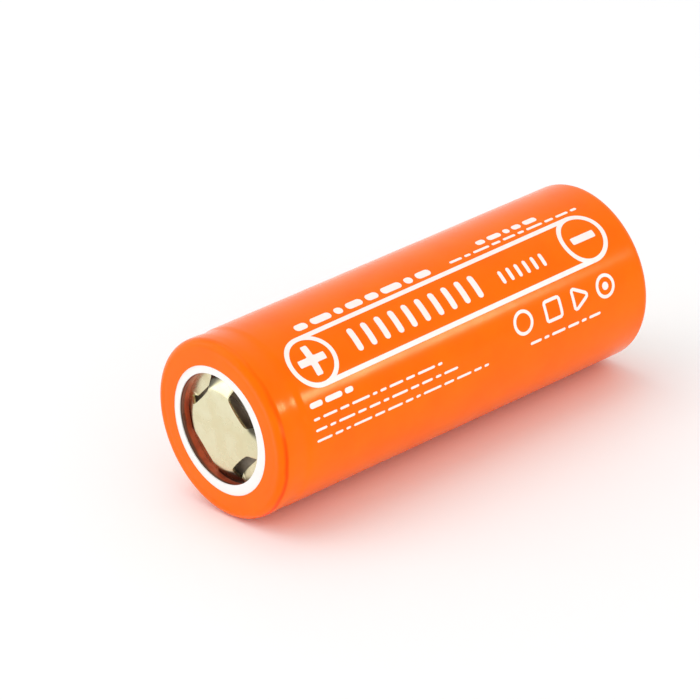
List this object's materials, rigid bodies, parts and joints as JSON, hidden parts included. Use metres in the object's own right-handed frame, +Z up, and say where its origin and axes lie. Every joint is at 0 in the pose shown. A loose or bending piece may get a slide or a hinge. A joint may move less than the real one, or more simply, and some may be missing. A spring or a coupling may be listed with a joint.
{
  "type": "cylindrical battery cell",
  "caption": "Cylindrical lithium iron phosphate cell in a heat-shrink sleeve, with crimped can, vented positive cap and wound electrodes inside.",
  "frame": {"origin": "on the line that the cell rests on, halfway along the cell", "axes": "+Z up; the cell's axis runs along X, positive end towards -X and negative end towards +X; the printed side faces -Y and up"},
  "size_m": [0.0704, 0.0264, 0.0264],
  "materials": {
    "orange_film": "printed heat-shrink film, satin gloss",
    "white_fibre": "plain white washer",
    "nickel_steel": "satin nickel plate on steel",
    "gasket_plastic": "red-brown moulded plastic",
    "cap_nickel": "warm nickel plate on pressed steel",
    "vent_aluminium": "rolled aluminium",
    "ring_plastic": "natural plastic",
    "plate_aluminium": "stamped aluminium",
    "tab_aluminium": "bright aluminium strip",
    "polyimide_tape": "amber tape",
    "insulator_plastic": "white plastic sheet",
    "separator_film": "white microporous film",
    "iron_phosphate_coating": "pressed dark grey powder",
    "aluminium_foil": "bright foil",
    "graphite_coating": "pressed black powder",
    "copper_foil": "bright copper foil",
    "winding_tape": "green polyester tape",
    "tab_nickel": "nickel strip"
  },
  "bodies": {
    "root": {"shrink_sleeve": "orange_film", "insulating_washer": "white_fibre", "can": "nickel_steel", "seal_gasket": "gasket_plastic", "positive_cap": "cap_nickel", "vent_disc": "vent_aluminium", "interrupter_ring": "ring_plastic", "contact_plate": "plate_aluminium", "cathode_tab": "tab_aluminium", "cathode_tab_tape": "polyimide_tape", "top_insulator": "insulator_plastic", "separator_inner": "separator_film", "cathode_coating_inner": "iron_phosphate_coating", "cathode_foil": "aluminium_foil", "cathode_coating_outer": "iron_phosphate_coating", "separator_outer": "separator_film", "anode_coating_inner": "graphite_coating", "anode_foil": "copper_foil", "anode_coating_outer": "graphite_coating", "winding_tape": "winding_tape", "anode_tab": "tab_nickel", "anode_tab_tape": "polyimide_tape", "bottom_insulator": "insulator_plastic"}
  },
  "joints": []
}
